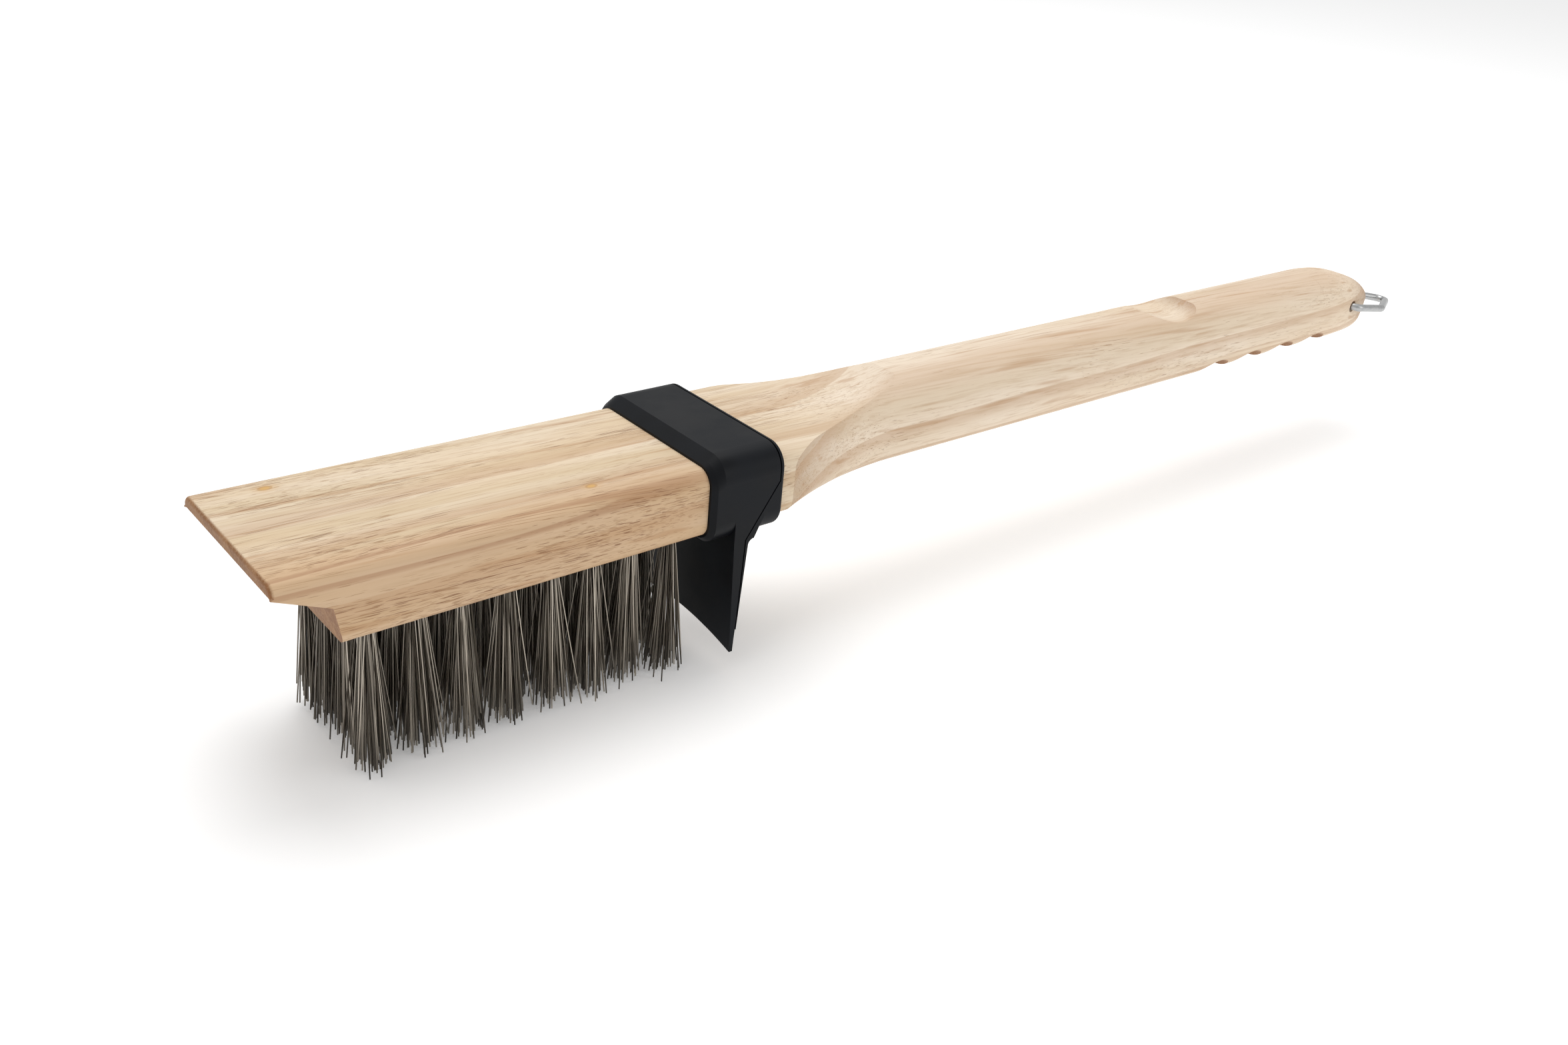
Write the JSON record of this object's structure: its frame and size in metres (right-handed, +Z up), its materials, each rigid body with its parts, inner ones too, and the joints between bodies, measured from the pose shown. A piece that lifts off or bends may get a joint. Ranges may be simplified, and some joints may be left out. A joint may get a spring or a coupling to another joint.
{
  "type": "grill cleaning brush",
  "caption": "Long-handled grill brush: wooden head and handle in one piece, steel bristle tufts, black collar with a scraper blade, and a pivoting wire hanging loop.",
  "frame": {"origin": "middle of the footprint, at the height of the bristle tips", "axes": "+X from the tip of the head to the end of the handle, +Z up with the bristles pointing down"},
  "size_m": [0.476, 0.054, 0.0646],
  "materials": {
    "rubberwood": "sanded, unvarnished",
    "moulded_nylon": "satin moulded black",
    "screw_steel": "zinc plated",
    "anchor_steel": "drawn flat wire",
    "loop_steel": "satin plated wire",
    "bristle_steel": "drawn spring wire"
  },
  "bodies": {
    "brush": {"wood_body": "rubberwood", "collar_scraper": "moulded_nylon", "collar_screws": "screw_steel", "tuft_anchors": "anchor_steel", "tuft_row1_1": "bristle_steel", "tuft_row1_2": "bristle_steel", "tuft_row1_3": "bristle_steel", "tuft_row1_4": "bristle_steel", "tuft_row1_5": "bristle_steel", "tuft_row1_6": "bristle_steel", "tuft_row1_7": "bristle_steel", "tuft_row1_8": "bristle_steel", "tuft_row2_1": "bristle_steel", "tuft_row2_2": "bristle_steel", "tuft_row2_3": "bristle_steel", "tuft_row2_4": "bristle_steel", "tuft_row2_5": "bristle_steel", "tuft_row2_6": "bristle_steel", "tuft_row2_7": "bristle_steel", "tuft_row2_8": "bristle_steel", "tuft_row3_1": "bristle_steel", "tuft_row3_2": "bristle_steel", "tuft_row3_3": "bristle_steel", "tuft_row3_4": "bristle_steel", "tuft_row3_5": "bristle_steel", "tuft_row3_6": "bristle_steel", "tuft_row3_7": "bristle_steel", "tuft_row3_8": "bristle_steel", "tuft_row4_1": "bristle_steel", "tuft_row4_2": "bristle_steel", "tuft_row4_3": "bristle_steel", "tuft_row4_4": "bristle_steel", "tuft_row4_5": "bristle_steel", "tuft_row4_6": "bristle_steel", "tuft_row4_7": "bristle_steel", "tuft_row4_8": "bristle_steel"},
    "loop": {"hanging_loop": "loop_steel"}
  },
  "joints": [
    {"name": "loop_swing", "type": "hinge", "parent": "brush", "child": "loop", "pos_m": [0.19373, 0, 0.05145], "axis": [0, 1, 0], "range_deg": [-145, 120]}
  ]
}
